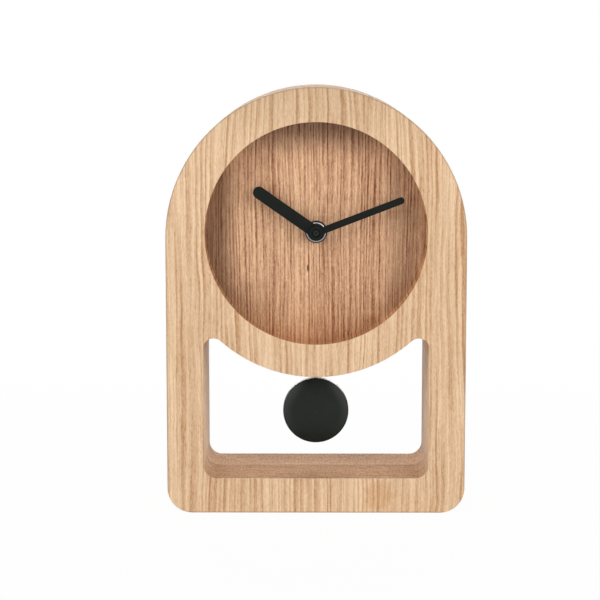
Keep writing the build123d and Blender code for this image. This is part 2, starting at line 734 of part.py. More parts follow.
def circuit_front():
    return INNER_BACK - CIRCUIT_LIFT - CIRCUIT


def circuit_board():
    middle = DIAL_Z - CIRCUIT_DROP
    half = CIRCUIT_HEIGHT / 2
    front = circuit_front()
    right = CIRCUIT_LENGTH - CIRCUIT_LEFT
    return block(-CIRCUIT_LEFT, right, front, front + CIRCUIT, middle - half, middle + half)


def quartz_crystal():
    left = CIRCUIT_LENGTH / 2 - CIRCUIT_LEFT + 1
    z = DIAL_Z - CIRCUIT_DROP
    return barrel(CRYSTAL_RADIUS, left, left + CRYSTAL_LENGTH, circuit_front() - CRYSTAL_RADIUS, z)


def circuit_chip():
    place = (CIRCUIT_LENGTH / 4 - CIRCUIT_LEFT, DIAL_Z - CIRCUIT_DROP)
    blob = disc(CHIP_RADIUS, circuit_front() - CHIP, circuit_front(), place)
    return fillet(blob.faces().sort_by(Axis.Y)[0].edges(), CHIP * 0.8)


# Battery
def battery_axis_y():
    return MOVEMENT_BACK - BATTERY_DEEP - BATTERY_RADIUS


def battery():
    left = -BATTERY_LENGTH / 2
    right = BATTERY_LENGTH / 2
    y = battery_axis_y()
    cell = barrel(BATTERY_RADIUS, left, right - TERMINAL, y, BATTERY_Z)
    cell = fillet(cell.edges().filter_by(GeomType.CIRCLE), BATTERY_EDGE)
    return cell + barrel(TERMINAL_RADIUS, right - TERMINAL, right, y, BATTERY_Z)


def contact(side):
    outer = side * POCKET_HALF
    inner = side * (POCKET_HALF - CONTACT)
    y = battery_axis_y()
    low = BATTERY_Z - CONTACT_HALF
    high = BATTERY_Z + CONTACT_HALF
    return block(min(outer, inner), max(outer, inner), y - CONTACT_HALF, y + CONTACT_HALF, low, high)


# Pendulum
def lever_pin():
    hub_front, hub_back = lever_hub_depths()
    return disc(LEVER_PIN, hub_front - PIN_BITE, hub_back + PIN_BITE, LEVER_PLACE)


def pendulum_lever():
    hub_front, hub_back = lever_hub_depths()
    bar = Pos(0, (LEVER_Z + HOOK_Z) / 2) * Rectangle(2 * LEVER_HALF, LEVER_Z - HOOK_Z)
    bar += Pos(HOOK_PLACE[0], HOOK_PLACE[1]) * Circle(LEVER_HALF)
    bar += Pos(COIL_PLACE[0], COIL_PLACE[1]) * Circle(LEVER_MAGNET + LEVER_RIM)
    bar -= Pos(COIL_PLACE[0], COIL_PLACE[1]) * Circle(LEVER_MAGNET)
    lever = plate(bar, LEVER_FRONT, LEVER_BACK)
    lever += disc(LEVER_HUB, hub_front, hub_back, LEVER_PLACE)
    hook_back = ROD_Y + ROD_RADIUS + HOOK_GAP
    lever += disc(HOOK_RADIUS, LEVER_BACK, hook_back, HOOK_PLACE)
    lever += disc(HOOK_HEAD, hook_back, hook_back + HOOK_HEAD_DEPTH, HOOK_PLACE)
    return lever - disc(LEVER_PIN + RUNNING, hub_front, hub_back, LEVER_PLACE)


def lever_magnet():
    return disc(LEVER_MAGNET, LEVER_FRONT, LEVER_BACK, COIL_PLACE)


def drive_bobbin():
    back = COIL_Y + COIL_DEPTH
    body = disc(COIL_CORE, COIL_Y, INNER_BACK, COIL_PLACE)
    body += disc(COIL_RADIUS, COIL_Y, COIL_Y + COIL_FLANGE, COIL_PLACE)
    return body + disc(COIL_RADIUS, back - COIL_FLANGE, back, COIL_PLACE)


def drive_winding():
    front = COIL_Y + COIL_FLANGE
    back = COIL_Y + COIL_DEPTH - COIL_FLANGE
    return tube(COIL_RADIUS - WINDING_DROP, COIL_CORE, front, back, COIL_PLACE)


def pendulum_rod():
    low = BOB_Z + BOB_RADIUS - ROD_DEPTH
    high = HOOK_Z - (EYE_RADIUS + HOOK_RADIUS) / 2
    eye = tube(EYE_RADIUS, HOOK_RADIUS + RUNNING, ROD_Y - EYE / 2, ROD_Y + EYE / 2, HOOK_PLACE)
    return eye + Pos(0, ROD_Y, (low + high) / 2) * Cylinder(ROD_RADIUS, high - low)


def pendulum_bob():
    dome = (BOB_RADIUS**2 + BOB_DOME**2) / (2 * BOB_DOME)
    edge_x = BOB_RADIUS - BOB_EDGE
    edge_y = BOB_SIDE / 2
    centre = edge_y - math.sqrt((dome - BOB_EDGE) ** 2 - edge_x**2)
    half = centre + dome
    lean = math.asin(edge_x / (dome - BOB_EDGE))
    turn = (lean + math.pi / 2) / 2

    def on_dome(angle, side):
        return (dome * math.sin(angle), side * (centre + dome * math.cos(angle)))

    def on_edge(side):
        return (edge_x + BOB_EDGE * math.sin(turn), side * (edge_y + BOB_EDGE * math.cos(turn)))

    edges = [
        Line((0, -half), (0, half)),
        ThreePointArc((0, half), on_dome(lean / 2, 1), on_dome(lean, 1)),
        ThreePointArc(on_dome(lean, 1), on_edge(1), (BOB_RADIUS, edge_y)),
        Line((BOB_RADIUS, edge_y), (BOB_RADIUS, -edge_y)),
        ThreePointArc((BOB_RADIUS, -edge_y), on_edge(-1), on_dome(lean, -1)),
        ThreePointArc(on_dome(lean, -1), on_dome(lean / 2, -1), (0, -half)),
    ]
    bob = Pos(0, ROD_Y, BOB_Z) * revolve(make_face(edges), Axis.Y)
    return bob - Pos(0, ROD_Y, BOB_Z + BOB_RADIUS - ROD_DEPTH / 2) * Cylinder(ROD_RADIUS, ROD_DEPTH)


PARTS = {
    "front_board": front_board(),
    "rear_board": rear_board(),
    "front_veneer": front_veneer(),
    "rear_veneer": rear_veneer(),
    "outer_edge_veneer": outer_veneer(),
    "base_veneer": base_veneer(),
    "window_front_veneer": window_front_veneer(),
    "window_rear_veneer": window_rear_veneer(),
    "dial_rim_veneer": dial_rim_veneer(),
    "dial_board": dial_board(),
    "dial_veneer": dial_veneer(),
    "movement_front_shell": movement_front_shell(),
    "movement_rear_shell": movement_rear_shell(),
    "train_plate": train_plate(),
    "movement_screws": movement_screws(),
    "centre_bush": centre_bush(),
    "rubber_gasket": rubber_gasket(),
    "bush_washer": bush_washer(),
    "bush_nut": bush_nut(),
    "hour_hand": hour_hand(),
    "minute_hand": minute_hand(),
    "hour_wheel": hour_wheel(),
    "minute_pipe": minute_pipe(),
    "minute_wheel": minute_wheel(),
    "setting_stem": setting_stem(),
    "setting_knob": setting_knob(),
    "centre_wheel": centre_wheel(),
    "third_wheel": third_wheel(),
    "seconds_wheel": seconds_wheel(),
    "intermediate_wheel": intermediate_wheel(),
    "rotor_arbor": rotor_arbor(),
    "rotor_magnet": rotor_magnet(),
    "motor_stator": motor_stator(),
    "motor_core": motor_core(),
    "motor_bobbin": motor_bobbin(),
    "motor_winding": motor_winding(),
    "circuit_board": circuit_board(),
    "quartz_crystal": quartz_crystal(),
    "circuit_chip": circuit_chip(),
    "battery": battery(),
    "positive_contact": contact(1),
    "negative_contact": contact(-1),
    "lever_pin": lever_pin(),
    "pendulum_lever": pendulum_lever(),
    "lever_magnet": lever_magnet(),
    "drive_bobbin": drive_bobbin(),
    "drive_winding": drive_winding(),
    "pendulum_rod": pendulum_rod(),
    "pendulum_bob": pendulum_bob(),
}

os.makedirs("parts", exist_ok=True)
for name, part in PARTS.items():
    export_step(part, f"parts/{name}.step")
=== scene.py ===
import math

import bmesh
import bpy
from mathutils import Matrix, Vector


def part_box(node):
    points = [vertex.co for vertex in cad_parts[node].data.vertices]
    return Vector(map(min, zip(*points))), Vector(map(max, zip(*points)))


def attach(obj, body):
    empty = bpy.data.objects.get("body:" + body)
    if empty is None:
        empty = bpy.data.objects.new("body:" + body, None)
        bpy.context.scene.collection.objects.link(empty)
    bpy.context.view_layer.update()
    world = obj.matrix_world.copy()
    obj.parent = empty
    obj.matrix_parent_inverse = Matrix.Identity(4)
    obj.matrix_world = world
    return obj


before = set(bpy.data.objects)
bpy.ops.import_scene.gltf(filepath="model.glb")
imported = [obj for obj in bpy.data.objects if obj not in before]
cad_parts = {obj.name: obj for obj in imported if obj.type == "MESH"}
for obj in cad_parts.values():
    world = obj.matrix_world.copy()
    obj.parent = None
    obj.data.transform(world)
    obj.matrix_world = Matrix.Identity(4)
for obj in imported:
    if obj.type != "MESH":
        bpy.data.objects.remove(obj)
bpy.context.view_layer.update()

# Desk pendulum clock: its finishes, small moulded details, stage, lights and camera.
# Metres, in the frame of the solids: the dial faces -Y and Z is up. The finishes work in millimetres.
MM = 0.001

# Places read from the solids, in metres
case_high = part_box("outer_edge_veneer")[1]
dial_low, dial_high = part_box("dial_veneer")
strip_low, strip_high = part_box("window_front_veneer")
shell_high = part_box("movement_rear_shell")[1]
knob_low, knob_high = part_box("setting_knob")
battery_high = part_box("battery")[1]
bob_low, bob_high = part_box("pendulum_bob")

# The same places in millimetres, for the finishes
CASE_TOP = case_high.z / MM
ARCH_RADIUS = case_high.x / MM
ARCH_Z = CASE_TOP - ARCH_RADIUS
DIAL_Z = (dial_low.z + dial_high.z) / 2 / MM
DIAL_FRONT = dial_low.y / MM
DIAL_BACK = dial_high.y / MM
JOINT_Y = strip_high.y / MM
STRIP_FRONT = strip_low.y / MM
SILL_Z = strip_low.z / MM
BOB_Z = (bob_low.z + bob_high.z) / 2 / MM
BOB_EDGE = bob_high.x / MM
BATTERY_END = battery_high.x / MM


# Shader building
def tint(red, green, blue):
    """A screen colour from 0 to 255 as the linear colour that a socket takes."""
    linear = []
    for part in (red, green, blue):
        share = part / 255
        linear.append(share / 12.92 if share <= 0.04045 else ((share + 0.055) / 1.055) ** 2.4)
    return (*linear, 1.0)


def put(tree, kind, inputs=None, **settings):
    """Adds a node; each named or numbered input gets a value, or a socket to follow."""
    node = tree.nodes.new(kind)
    for name, value in settings.items():
        setattr(node, name, value)
    for name, value in (inputs or {}).items():
        if isinstance(value, bpy.types.NodeSocket):
            tree.links.new(value, node.inputs[name])
        else:
            node.inputs[name].default_value = value
    return node


def maths(tree, operation, first, second=0.0, third=0.0):
    return put(tree, "ShaderNodeMath", {0: first, 1: second, 2: third}, operation=operation).outputs[0]


def span(tree, value, low, high, start=0.0, end=1.0):
    """The value's way from low to high, eased, as a share from start to end."""
    inputs = {"Value": value, 1: low, 2: high, 3: start, 4: end}
    return put(tree, "ShaderNodeMapRange", inputs, interpolation_type="SMOOTHSTEP").outputs[0]


def mixed(tree, share, first, second, blend="MIX"):
    inputs = {0: share, 6: first, 7: second}
    return put(tree, "ShaderNodeMix", inputs, data_type="RGBA", blend_type=blend).outputs[2]


def noise(tree, place, scale, detail=2.0, roughness=0.5):
    inputs = {"Vector": place, "Scale": scale, "Detail": detail, "Roughness": roughness}
    return put(tree, "ShaderNodeTexNoise", inputs).outputs["Fac"]


def joined(tree, x, y, z=0.0):
    return put(tree, "ShaderNodeCombineXYZ", {0: x, 1: y, 2: z}).outputs[0]


def far_from_axis(tree, across, up):
    """How far a point lies from an axis along Y, by its two offsets from that axis."""
    offsets = joined(tree, across, up)
    return put(tree, "ShaderNodeVectorMath", {0: offsets}, operation="LENGTH").outputs["Value"]


def place_parts(tree):
    """The three millimetre coordinates of a surface point."""
    place = put(tree, "ShaderNodeTexCoord").outputs["Object"]
    scaled = put(tree, "ShaderNodeVectorMath", {0: place, "Scale": 1 / MM}, operation="SCALE").outputs[0]
    return put(tree, "ShaderNodeSeparateXYZ", {0: scaled}).outputs


def new_group(name, inputs, outputs):
    """A shader group with its input and output sockets; an input without a value takes a place."""
    group = bpy.data.node_groups.new(name, "ShaderNodeTree")
    for label, value in inputs.items():
        kind = "NodeSocketVector" if value is None else "NodeSocketFloat"
        socket = group.interface.new_socket(label, in_out="INPUT", socket_type=kind)
        if value is not None:
            socket.default_value = value
    for label in outputs:
        group.interface.new_socket(label, in_out="OUTPUT", socket_type="NodeSocketFloat")
    return group, put(group, "NodeGroupInput").outputs, put(group, "NodeGroupOutput").inputs


def use_group(tree, group, **inputs):
    return put(tree, "ShaderNodeGroup", inputs, node_tree=group).outputs


def new_material(name):
    """A material with an empty tree but for one surface shader and its output."""
    material = bpy.data.materials.new(name)
    material.use_nodes = True
    tree = material.node_tree
    tree.nodes.clear()
    shader = put(tree, "ShaderNodeBsdfPrincipled")
    put(tree, "ShaderNodeOutputMaterial", {"Surface": shader.outputs[0]})
    return material, tree, shader.inputs


def bumped(tree, height, distance):
    inputs = {"Height": height, "Distance": distance, "Strength": 1.0}
    return put(tree, "ShaderNodeBump", inputs).outputs[0]


# Grain: each of its layers is a noise with a width over the fibres and a length along them
NOISE_MIDDLE = 0.5
BROAD_BEND = {"width": 45.0, "length": 130.0}
BROAD_BEND_REACH = 9.0
SMALL_BEND = {"width": 14.0, "length": 36.0}
SMALL_BEND_REACH = 2.4
RAGGED_EDGE = {"width": 0.8, "length": 4.0, "detail": 2.0}
# So many rings are about as wide as each other, over this length, and then differ by this much
RINGS_ALIKE = 3.0
RINGS_LENGTH = 400.0
RINGS_UNEVEN = 3.4
# A ring's share that is its dark core, and the share where it ends
RING_CORE = 0.2
RING_END = 0.8
# Each ring fades in and out by itself along its run
RING_STEP = 3.7
RING_RUN = 3.0
RING_FAINT = 0.34
RING_FULL = 0.68
RING_MOST = 1.05
STREAK = {"width": 1.2, "detail": 2.0, "roughness": 0.6}
STREAK_RUN = 2.0
FIBRE = {"width": 0.5, "detail": 3.0, "roughness": 0.65}
FIBRE_PALE = 0.3
FIBRE_DARK = 0.7
COLOUR_BAND = {"width": 13.0, "length": 260.0}
BROKEN_FIBRE = {"width": 0.9, "length": 7.0, "detail": 2.0}
SPECK = {"width": 0.5, "length": 1.8, "detail": 2.0}
PORE = {"width": 0.4, "length": 3.0}
PORE_THIN = 0.6
PORE_FULL = 0.72
PORE_TONE_LIGHT = 0.3
PORE_TONE_DARK = 0.8
# What each layer adds to the tone
RING_WEIGHT = 0.5
STREAK_WEIGHT = 0.3
FIBRE_WEIGHT = 0.3
BAND_WEIGHT = 0.45
SPECK_WEIGHT = 0.7


def grain_group():
    """Year rings, long streaks and fine fibres as one Tone, with short pores in the dark parts.

    Across and Along are millimetres over and along the fibres.
    """
    inputs = {"Across": 0.0, "Along": 0.0, "Seed": 0.0, "Ring": 3.0, "Waver": 1.0, "Ragged": 1.0, "Run": 30.0,
              "Break": 0.4, "Width": 1.0, "Even": 0.12}
    group, given, out = new_group("grain", inputs, ("Tone", "Fibre", "Pore"))

    def times(first, second):
        return maths(group, "MULTIPLY", first, second)

    def layer(across, width, length, detail=1.0, roughness=0.5):
        over = maths(group, "DIVIDE", across, width)
        along = maths(group, "DIVIDE", given["Along"], length)
        return noise(group, joined(group, over, along, given["Seed"]), 1.0, detail, roughness)

    def swayed(value, sway, reach):
        """Adds a noise that goes as far up as down."""
        return maths(group, "MULTIPLY_ADD", maths(group, "SUBTRACT", sway, NOISE_MIDDLE), reach, value)

    # The fibres wander, and each ring has a ragged edge
    broad_reach = times(given["Waver"], BROAD_BEND_REACH)
    bent = swayed(given["Across"], layer(given["Across"], **BROAD_BEND), broad_reach)
    bent = swayed(bent, layer(bent, **SMALL_BEND), times(given["Waver"], SMALL_BEND_REACH))
    ragged = swayed(bent, layer(bent, **RAGGED_EDGE), given["Ragged"])

    # Rings of uneven width and strength
    uneven = times(layer(bent, times(given["Ring"], RINGS_ALIKE), RINGS_LENGTH), RINGS_UNEVEN)
    rings = maths(group, "ADD", maths(group, "DIVIDE", ragged, given["Ring"]), uneven)
    age = maths(group, "FRACT", rings)
    dark = times(span(group, age, 0.0, RING_CORE), span(group, age, RING_END, RING_CORE))
    number = times(maths(group, "FLOOR", rings), RING_STEP)
    fading = layer(number, 1.0, times(given["Run"], RING_RUN))
    strength = span(group, fading, RING_FAINT, RING_FULL, given["Even"], RING_MOST)

    # Streaks and fibres
    thin = maths(group, "DIVIDE", ragged, given["Width"])
    long_streak = layer(thin, length=times(given["Run"], STREAK_RUN), **STREAK)
    streak = span(group, long_streak, FIBRE_PALE, FIBRE_DARK)
    fibre = span(group, layer(thin, length=given["Run"], **FIBRE), FIBRE_PALE, FIBRE_DARK)

    # All of it as one tone
    tone = times(times(dark, strength), RING_WEIGHT)
    tone = maths(group, "MULTIPLY_ADD", streak, STREAK_WEIGHT, tone)
    tone = maths(group, "MULTIPLY_ADD", fibre, FIBRE_WEIGHT, tone)
    tone = swayed(tone, layer(bent, **COLOUR_BAND), BAND_WEIGHT)
    tone = swayed(tone, layer(thin, **BROKEN_FIBRE), given["Break"])
    tone = swayed(tone, layer(bent, **SPECK), SPECK_WEIGHT)
    dashes = span(group, layer(bent, **PORE), PORE_THIN, PORE_FULL)
    group.links.new(put(group, "ShaderNodeClamp", {0: tone}).outputs[0], out["Tone"])
    group.links.new(fibre, out["Fibre"])
    group.links.new(times(dashes, span(group, tone, PORE_TONE_LIGHT, PORE_TONE_DARK)), out["Pore"])
    return group


# Mottle of moulded, painted and turned surfaces
FINE_DETAIL = 3.0
FINE_ROUGHNESS = 0.6
BROAD_SCALE = 0.08
BROAD_DETAIL = 1.0
BROAD_WEIGHT = 0.6
FINE_WEIGHT = 0.4
MOTTLE_LOW = 0.35
MOTTLE_HIGH = 0.65
FINE_LOW = 0.2
FINE_HIGH = 0.8


def mottle_group():
    """Fine is a noise with Scale spots to the millimetre, and Share is that noise over a broad one."""
    group, given, out = new_group("mottle", {"Place": None, "Scale": 2.5}, ("Fine", "Share"))
    fine = noise(group, given["Place"], given["Scale"], FINE_DETAIL, FINE_ROUGHNESS)
    broad = noise(group, given["Place"], BROAD_SCALE, BROAD_DETAIL)
    both = maths(group, "MULTIPLY_ADD", broad, BROAD_WEIGHT, maths(group, "MULTIPLY", fine, FINE_WEIGHT))
    group.links.new(fine, out["Fine"])
    group.links.new(span(group, both, MOTTLE_LOW, MOTTLE_HIGH), out["Share"])
    return group


# Sanded edge of the front and rear sheets, with painted shade of their rounded edge
EDGE_LINE = 1.0
EDGE_CORE = EDGE_LINE / 3
EDGE_SHARE = 0.6
# Grey of the sanded edges; on the front and rear sheets it also paints the shade of the rounded edge
EDGE_GREY = tint(162, 138, 114)


def sanded_and_shaded_edge_group():
    """How much the sanded edge and the painted shade of its rounding show: a thin line over the arch, down
    the sides and along the foot.
    """
    group, given, out = new_group("sanded_and_shaded_edge", {"Across": 0.0, "Up": 0.0}, ("Share",))
    above = maths(group, "MAXIMUM", maths(group, "SUBTRACT", given["Up"], ARCH_Z), 0.0)
    reach = far_from_axis(group, given["Across"], above)
    edge = span(group, reach, ARCH_RADIUS - EDGE_LINE, ARCH_RADIUS - EDGE_CORE)
    foot = span(group, given["Up"], EDGE_LINE, EDGE_CORE)
    group.links.new(maths(group, "MULTIPLY", maths(group, "MAXIMUM", edge, foot), EDGE_SHARE), out["Share"])
    return group


# Window strips: the sill, its pores, the glue line at the joint and the sanded front end
SILL_FADE = 11.0
SILL_PORE = 1.0
SILL_PORE_DRAW = 0.2
SILL_PORE_THIN = 0.4
SILL_PORE_FULL = 0.65
SILL_PORE_TINT = tint(228, 216, 204)
GLUE_LINE = 0.9
GLUE_CORE = GLUE_LINE / 3
GLUE_SHARE = 0.25
GLUE_TINT = tint(232, 212, 190)
STRIP_END_DEPTH = 0.1
STRIP_END_FADE = 0.2
STRIP_END = STRIP_FRONT + STRIP_END_DEPTH


def window_strip_group():
    """Where a window strip is sill, with its pores, and where the glue and the sanded end show."""
    inputs = {"Across": 0.0, "Deep": 0.0, "Up": 0.0}
    group, given, out = new_group("window_strip", inputs, ("Sill", "Pores", "Glue", "End"))
    sill = span(group, given["Up"], SILL_Z + SILL_FADE, SILL_Z)
    drawn = joined(group, given["Across"], maths(group, "MULTIPLY", given["Deep"], SILL_PORE_DRAW))
    pores = span(group, noise(group, drawn, SILL_PORE), SILL_PORE_THIN, SILL_PORE_FULL)
    off = maths(group, "ABSOLUTE", maths(group, "SUBTRACT", given["Deep"], JOINT_Y))
    group.links.new(sill, out["Sill"])
    group.links.new(maths(group, "MULTIPLY", sill, pores), out["Pores"])
    group.links.new(span(group, off, GLUE_LINE, GLUE_CORE, 0.0, GLUE_SHARE), out["Glue"])
    end = span(group, given["Deep"], STRIP_END + STRIP_END_FADE, STRIP_END, 0.0, EDGE_SHARE)
    group.links.new(end, out["End"])
    return group


GRAIN = grain_group()
MOTTLE = mottle_group()
SANDED_AND_SHADED_EDGE = sanded_and_shaded_edge_group()
WINDOW_STRIP = window_strip_group()

# Kinds of finish
GRAIN_DEPTH = 0.00006
PORE_SHARE = 0.7
FIBRE_RELIEF = 0.3
FIBRE_SMOOTHER = 0.06
FIBRE_ROUGHER = 0.08
MOTTLE_ROUGHER = 0.06


def veneer(name, across, along, colours, grain, shade=None, roughness=0.5, level=0.3):
    """Lacquered veneer; across and along give millimetre coordinates, shade changes the colour at the end."""
    light, dark, pore = colours
    material, tree, shader = new_material(name)
    parts = place_parts(tree)
    figure = use_group(tree, GRAIN, Across=across(tree, parts), Along=along(tree, parts), **grain)
    colour = mixed(tree, figure["Tone"], light, dark)
    colour = mixed(tree, maths(tree, "MULTIPLY", figure["Pore"], PORE_SHARE), colour, pore)
    if shade:
        colour = shade(tree, parts, colour)
    tree.links.new(colour, shader["Base Color"])
    gloss = span(tree, figure["Fibre"], 0.0, 1.0, roughness - FIBRE_SMOOTHER, roughness + FIBRE_ROUGHER)
    tree.links.new(gloss, shader["Roughness"])
    fibres = maths(tree, "MULTIPLY", figure["Fibre"], FIBRE_RELIEF)
    relief = maths(tree, "MULTIPLY_ADD", figure["Pore"], -1.0, fibres)
    tree.links.new(bumped(tree, relief, GRAIN_DEPTH), shader["Normal"])
    shader["Specular IOR Level"].default_value = level
    return material


def plain(name, base, darker, mottle, roughness, bump=0.00003, metal=0.0, level=0.5, shade=None):
    """A moulded, painted or turned finish with a fine mottle of the given size in millimetres."""
    material, tree, shader = new_material(name)
    parts = place_parts(tree)
    uneven = use_group(tree, MOTTLE, Place=joined(tree, *parts), Scale=1 / mottle)
    colour = mixed(tree, uneven["Share"], base, darker)
    if shade:
        colour = shade(tree, parts, colour)
    tree.links.new(colour, shader["Base Color"])
    smoother = roughness - MOTTLE_ROUGHER
    rougher = roughness + MOTTLE_ROUGHER
    tree.links.new(span(tree, uneven["Fine"], FINE_LOW, FINE_HIGH, smoother, rougher), shader["Roughness"])
    tree.links.new(bumped(tree, uneven["Fine"], bump), shader["Normal"])
    shader["Metallic"].default_value = metal
    shader["Specular IOR Level"].default_value = level
    return material


# Ways in which a sheet's grain runs
def x_of(tree, parts):
    return parts[0]


def y_of(tree, parts):
    return parts[1]


def z_of(tree, parts):
    return parts[2]


def x_and_z(tree, parts):
    """Runs along a strip that is bent round a corner."""
    return maths(tree, "ADD", parts[0], parts[2])


def round_arch(tree, parts):
    """Runs up one side, over the arch and down the other side."""
    above = maths(tree, "SUBTRACT", parts[2], ARCH_Z)
    turn = maths(tree, "ARCTAN2", parts[0], maths(tree, "MAXIMUM", above, 0.0))
    below = maths(tree, "MAXIMUM", maths(tree, "MULTIPLY", above, -1.0), 0.0)
    side = maths(tree, "MULTIPLY", below, maths(tree, "SIGN", parts[0]))
    return maths(tree, "MULTIPLY_ADD", turn, ARCH_RADIUS, side)


# Dial sheet, with painted shade at its sides, in its lower corners and at its head
DIAL_LEFT = 43.0
DIAL_LEFT_FADE = 13.0
DIAL_LEFT_DARK = 0.8
DIAL_RIGHT = 36.0
DIAL_RIGHT_FADE = 10.0
DIAL_RIGHT_DARK = 0.42
# Tint of the darker sides, partly darker wood and partly painted shade, also used for the painted shade in
# the lower corners
DIAL_WOOD_AND_SHADE_TINT = tint(152, 138, 126)
DIAL_CORNER = 44.0
DIAL_CORNER_REACH = 24.0
DIAL_CORNER_CORE = 6.0
DIAL_CORNER_SHADE_LEFT = 0.32
DIAL_CORNER_SHADE_RIGHT = 0.06
# Redder and darker towards the foot
DIAL_FOOT = 24.0
DIAL_FOOT_FADE = 40.0
DIAL_FOOT_TINT = tint(240, 230, 220)
# Painted shadow of the rim over the head of the dial
DIAL_HEAD = 40.0
DIAL_HEAD_FADE = 20.0
DIAL_HEAD_SHADE_TINT = tint(188, 188, 188)
FLECK_X = -4.6
FLECK_ABOVE = -20.8
FLECK_HALF_WIDTH = 0.8
FLECK_HALF_LENGTH = 2.4
FLECK_REACH = 1.2
FLECK_CORE = 0.5
FLECK_DARK = 0.9
FLECK_TINT = tint(82, 46, 30)


def dial_wood_and_shade(tree, parts, colour):
    """Darker at both sides, partly darker wood and partly painted shade of the recess wall; painted shade at
    the head under the rim and in the lower corners; redder and darker towards the foot; and a fleck.
    """
    above = maths(tree, "SUBTRACT", parts[2], DIAL_Z)
    # Darker sides: partly darker wood, partly painted shade of the recess wall
    left = span(tree, parts[0], -DIAL_LEFT, -DIAL_LEFT - DIAL_LEFT_FADE, 0.0, DIAL_LEFT_DARK)
    right = span(tree, parts[0], DIAL_RIGHT, DIAL_RIGHT + DIAL_RIGHT_FADE, 0.0, DIAL_RIGHT_DARK)
    colour = mixed(tree, maths(tree, "ADD", left, right), colour, DIAL_WOOD_AND_SHADE_TINT, "MULTIPLY")
    # Painted shade in the lower corners of the recess, stronger on the left
    beside = maths(tree, "SUBTRACT", maths(tree, "ABSOLUTE", parts[0]), DIAL_CORNER)
    off = far_from_axis(tree, beside, maths(tree, "ADD", above, DIAL_CORNER))
    corner = span(tree, off, DIAL_CORNER_REACH, DIAL_CORNER_CORE)
    weight = span(tree, parts[0], -DIAL_CORNER, DIAL_CORNER, DIAL_CORNER_SHADE_LEFT, DIAL_CORNER_SHADE_RIGHT)
    colour = mixed(tree, maths(tree, "MULTIPLY", corner, weight), colour, DIAL_WOOD_AND_SHADE_TINT, "MULTIPLY")
    foot = span(tree, above, -DIAL_FOOT, -DIAL_FOOT - DIAL_FOOT_FADE)
    colour = mixed(tree, foot, colour, DIAL_FOOT_TINT, "MULTIPLY")
    # Painted shadow under the rim at the head
    head = span(tree, above, DIAL_HEAD, DIAL_HEAD + DIAL_HEAD_FADE)
    colour = mixed(tree, head, colour, DIAL_HEAD_SHADE_TINT, "MULTIPLY")
    return dial_fleck(tree, parts[0], above, colour)


def dial_fleck(tree, across, above, colour):
    """One short dark fleck in the dial's wood, below the hands."""
    beside = maths(tree, "DIVIDE", maths(tree, "SUBTRACT", across, FLECK_X), FLECK_HALF_WIDTH)
    along = maths(tree, "DIVIDE", maths(tree, "SUBTRACT", above, FLECK_ABOVE), FLECK_HALF_LENGTH)
    fleck = span(tree, far_from_axis(tree, beside, along), FLECK_REACH, FLECK_CORE, 0.0, FLECK_DARK)
    return mixed(tree, fleck, colour, FLECK_TINT)


# Front and rear sheets
ARCH_DARK = 46.0
ARCH_TINT = tint(236, 235, 234)
PATCH_X = 36.0
PATCH_Z = 9.5
PATCH_HALF_WIDTH = 9.0
PATCH_HALF_HEIGHT = 9.0
PATCH_MOTTLE = 0.25
PATCH_REACH = 1.6
PATCH_CORE = 1.1
PATCH_TINT = tint(245, 236, 224)


def face_tones(tree, parts, colour):
    """The front sheet is darker over the arch, with a warm patch in the rail and a grey line round the edge,
    partly sanded edge and partly painted shade.
    """
    top = span(tree, parts[2], ARCH_Z + ARCH_DARK, CASE_TOP)
    colour = mixed(tree, top, colour, ARCH_TINT, "MULTIPLY")
    across = maths(tree, "DIVIDE", maths(tree, "SUBTRACT", parts[0], PATCH_X), PATCH_HALF_WIDTH)
    above = maths(tree, "DIVIDE", maths(tree, "SUBTRACT", parts[2], PATCH_Z), PATCH_HALF_HEIGHT)
    ragged = noise(tree, joined(tree, parts[0], parts[2]), PATCH_MOTTLE)
    spread = maths(tree, "ADD", far_from_axis(tree, across, above), ragged)
    colour = mixed(tree, span(tree, spread, PATCH_REACH, PATCH_CORE), colour, PATCH_TINT, "MULTIPLY")
    return sanded_and_shaded_edge(tree, parts, colour)


def sanded_and_shaded_edge(tree, parts, colour):
    """The sheet's sanded edge and the painted shade of its rounding show as a thin greyer line round the
    outside.
    """
    share = use_group(tree, SANDED_AND_SHADED_EDGE, Across=parts[0], Up=parts[2])["Share"]
    return mixed(tree, share, colour, EDGE_GREY)


# Strips round the recess and the window
RIM_LEFT = 50.0
RIM_LEFT_FADE = 40.0
RIM_LEFT_TINT = tint(222, 218, 214)
# Painted shade that darkens the sill, in front of and behind the joint
SILL_SHADE_TINT = tint(211, 184, 150)
REAR_SILL_SHADE_TINT = tint(239, 210, 176)


def rim_tones(tree, parts, colour):
    """The strip round the recess is darker on its left."""
    left = span(tree, parts[0], RIM_LEFT_FADE - RIM_LEFT, -RIM_LEFT)
    return mixed(tree, left, colour, RIM_LEFT_TINT, "MULTIPLY")


def wall_tones(sill_shade):
    """The sill is darker and browner than the upright strips, painted shade, with pores, and a pale glue line
    runs along the joint.
    """
    def tones(tree, parts, colour):
        strip = use_group(tree, WINDOW_STRIP, Across=parts[0], Deep=parts[1], Up=parts[2])
        colour = mixed(tree, strip["Sill"], colour, sill_shade, "MULTIPLY")
        colour = mixed(tree, strip["Pores"], colour, SILL_PORE_TINT, "MULTIPLY")
        colour = mixed(tree, strip["Glue"], colour, GLUE_TINT)
        return mixed(tree, strip["End"], colour, EDGE_GREY)
    return tones


# Bob, arbor, nut and battery
# Painted sheen towards the bob's edge, at both sides and less below
BOB_SHEEN_INNER = 12.5
BOB_SHEEN_BELOW = 0.05
BOB_SHEEN_SIDE = 13.0
BOB_NO_SHEEN_MIDDLE = BOB_SHEEN_SIDE / 3
BOB_SHEEN_GREY = tint(64, 69, 68)
# Painted shade on the arbor's tip inside the pipe
ARBOR_SHADE_BLACK = tint(10, 11, 11)
